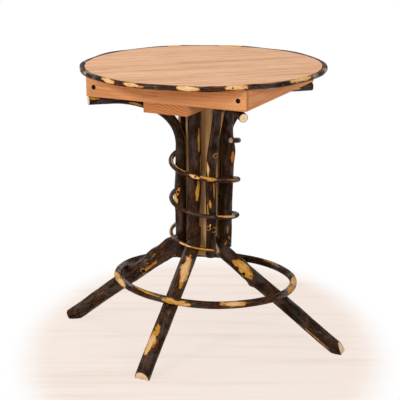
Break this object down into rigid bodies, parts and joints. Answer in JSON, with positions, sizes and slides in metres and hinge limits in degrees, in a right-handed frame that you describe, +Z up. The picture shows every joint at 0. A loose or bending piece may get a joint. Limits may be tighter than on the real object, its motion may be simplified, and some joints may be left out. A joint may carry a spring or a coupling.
{
  "type": "table",
  "caption": "Tall round table with a plank top edged in bark-on saplings, on a pedestal of bundled poles with splayed legs, a foot hoop and a spiral winding.",
  "frame": {"origin": "on the floor under the middle of the post, which is within 10 mm of the middle of the table's bounding box", "axes": "+Z up; +X towards the right-hand leg's side, -Y towards the front rail and the front leg, when the front is the side whose rail shows two screw holes"},
  "size_m": [1.1433, 1.0381, 1.0685],
  "materials": {
    "oak": "clear satin",
    "softwood": "clear satin",
    "edging_bark": "lacquered bark",
    "sapling_bark": "lacquered bark",
    "pole_bark": "lacquered bark",
    "dowel": "bare",
    "steel": "zinc plated"
  },
  "bodies": {
    "root": {"apron_rail_back": "softwood", "apron_rail_front": "softwood", "apron_rail_left": "softwood", "apron_rail_right": "softwood", "arm_screws": "steel", "arm_tip_screws": "steel", "block_screws": "steel", "corner_arm_back": "pole_bark", "corner_arm_front": "pole_bark", "corner_arm_left": "pole_bark", "corner_arm_right": "pole_bark", "corner_block_back": "softwood", "corner_block_front": "softwood", "corner_block_left": "softwood", "corner_block_right": "softwood", "cross_plank": "softwood", "edge_nails": "steel", "edge_sapling_1": "edging_bark", "edge_sapling_2": "edging_bark", "edge_sapling_3": "edging_bark", "edge_sapling_4": "edging_bark", "face_pole_back": "pole_bark", "face_pole_front": "pole_bark", "face_pole_left": "pole_bark", "face_pole_right": "pole_bark", "foot_hoop": "sapling_bark", "hoop_nails": "steel", "hoop_screws": "steel", "leg_back": "pole_bark", "leg_dowels": "dowel", "leg_front": "pole_bark", "leg_left": "pole_bark", "leg_right": "pole_bark", "plank_screws": "steel", "pole_screws": "steel", "post": "softwood", "post_screws": "steel", "rail_screws": "steel", "spiral_sapling": "sapling_bark", "top_board_1": "oak", "top_board_2": "oak", "top_board_3": "oak", "top_board_4": "oak", "top_board_5": "oak", "top_board_6": "oak", "top_board_7": "oak", "winding_nails": "steel"}
  },
  "joints": []
}
